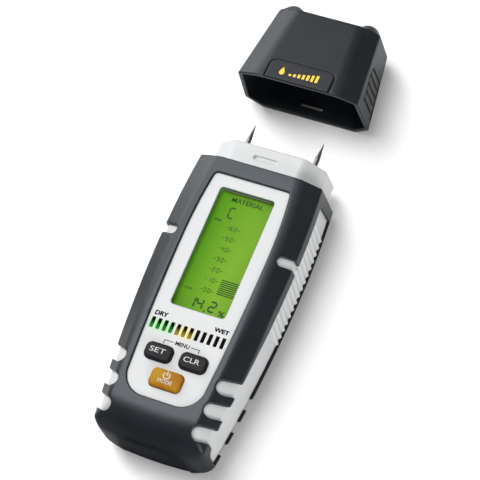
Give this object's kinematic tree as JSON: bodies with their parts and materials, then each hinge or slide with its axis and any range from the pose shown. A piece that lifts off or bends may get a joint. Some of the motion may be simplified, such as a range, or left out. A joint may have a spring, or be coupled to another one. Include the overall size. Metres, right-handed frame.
{
  "type": "moisture meter",
  "caption": "Handheld pin moisture meter with a rubber grip boot, green backlit display, bar indicator, keypad and pull-off cap over its probe pins.",
  "frame": {"origin": "on the flat back of the grip boot, on the centre line, midway along the boot", "axes": "+Z out of the display with the meter lying on its back, +Y along the meter towards the probe pins, +X across it to the right as seen from the front"},
  "size_m": [0.0588, 0.198, 0.0316],
  "materials": {
    "case_white": "smooth satin ABS, very fine moulded texture",
    "boot_rubber": "soft matt elastomer overmould",
    "cap_plastic": "fine spark-eroded texture",
    "gasket": "matt",
    "pin_steel": "ground and polished points",
    "brass": "turned",
    "window": "clear acrylic, polished",
    "lcd": "green display cell with dark segments",
    "backlight": "translucent light guide",
    "display_frame": "moulded",
    "zebra": "striped conductive elastomer",
    "bar_green": "clear tinted light pipe",
    "bar_yellow": "clear tinted light pipe",
    "bar_dark": "dark tinted light pipe",
    "black_plastic": "moulded",
    "led": "clear package",
    "board": "solder mask over glass fibre",
    "capacitor": "ceramic",
    "screw_steel": "zinc plated",
    "key_dark": "soft matt key with light print",
    "key_amber": "tinted, slightly translucent",
    "plunger": "moulded",
    "battery_skin": "printed steel jacket, no lettering",
    "terminal": "nickel plated",
    "lead_red": "insulated wire",
    "lead_black": "insulated wire",
    "foam": "closed-cell foam",
    "plate": "satin foil plate, blank",
    "cap_print": "fine texture with a yellow drop pictogram"
  },
  "bodies": {
    "meter": {"front_shell": "case_white", "back_shell": "case_white", "front_boot": "boot_rubber", "back_boot": "boot_rubber", "case_gasket": "gasket", "probe_head": "case_white", "probe_pin_left": "pin_steel", "probe_pin_right": "pin_steel", "pin_sockets": "brass", "socket_nuts": "brass", "socket_springs": "brass", "display_window": "window", "lcd_glass": "lcd", "lcd_backlight": "backlight", "lcd_frame": "display_frame", "zebra_strips": "zebra", "green_bars": "bar_green", "yellow_bars": "bar_yellow", "red_bars": "bar_dark", "bar_baffle": "black_plastic", "indicator_leds": "led", "main_board": "board", "controller_chip": "black_plastic", "analog_chips": "black_plastic", "board_capacitors": "capacitor", "buzzer": "black_plastic", "switch_bodies": "black_plastic", "board_screws": "screw_steel", "case_screws": "screw_steel", "battery": "battery_skin", "battery_terminals": "terminal", "battery_snap": "black_plastic", "red_lead": "lead_red", "black_lead": "lead_black", "rating_plate": "plate"},
    "cap": {"cap_shell": "cap_plastic", "cap_badge": "cap_print", "cap_grips": "cap_plastic"},
    "set_button": {"set_key": "key_dark", "set_plunger": "plunger"},
    "clear_button": {"clear_key": "key_dark", "clear_plunger": "plunger"},
    "mode_button": {"mode_key": "key_amber", "mode_plunger": "plunger"},
    "battery_door": {"battery_cover": "boot_rubber", "cover_pad": "foam"}
  },
  "joints": [
    {"name": "cap_pull", "type": "slide", "parent": "meter", "child": "cap", "axis": [0, 1, 0], "range_m": [-0.0383, 0]},
    {"name": "set_press", "type": "slide", "parent": "meter", "child": "set_button", "axis": [0, 0, -1], "range_m": [0, 0.0007], "stiffness_N_per_m": 1500, "springref_m": -0.0004},
    {"name": "clear_press", "type": "slide", "parent": "meter", "child": "clear_button", "axis": [0, 0, -1], "range_m": [0, 0.0007], "stiffness_N_per_m": 1500, "springref_m": -0.0004},
    {"name": "mode_press", "type": "slide", "parent": "meter", "child": "mode_button", "axis": [0, 0, -1], "range_m": [0, 0.0007], "stiffness_N_per_m": 1500, "springref_m": -0.0004},
    {"name": "door_slide", "type": "slide", "parent": "meter", "child": "battery_door", "axis": [0, -1, 0], "range_m": [0, 0.056]}
  ]
}
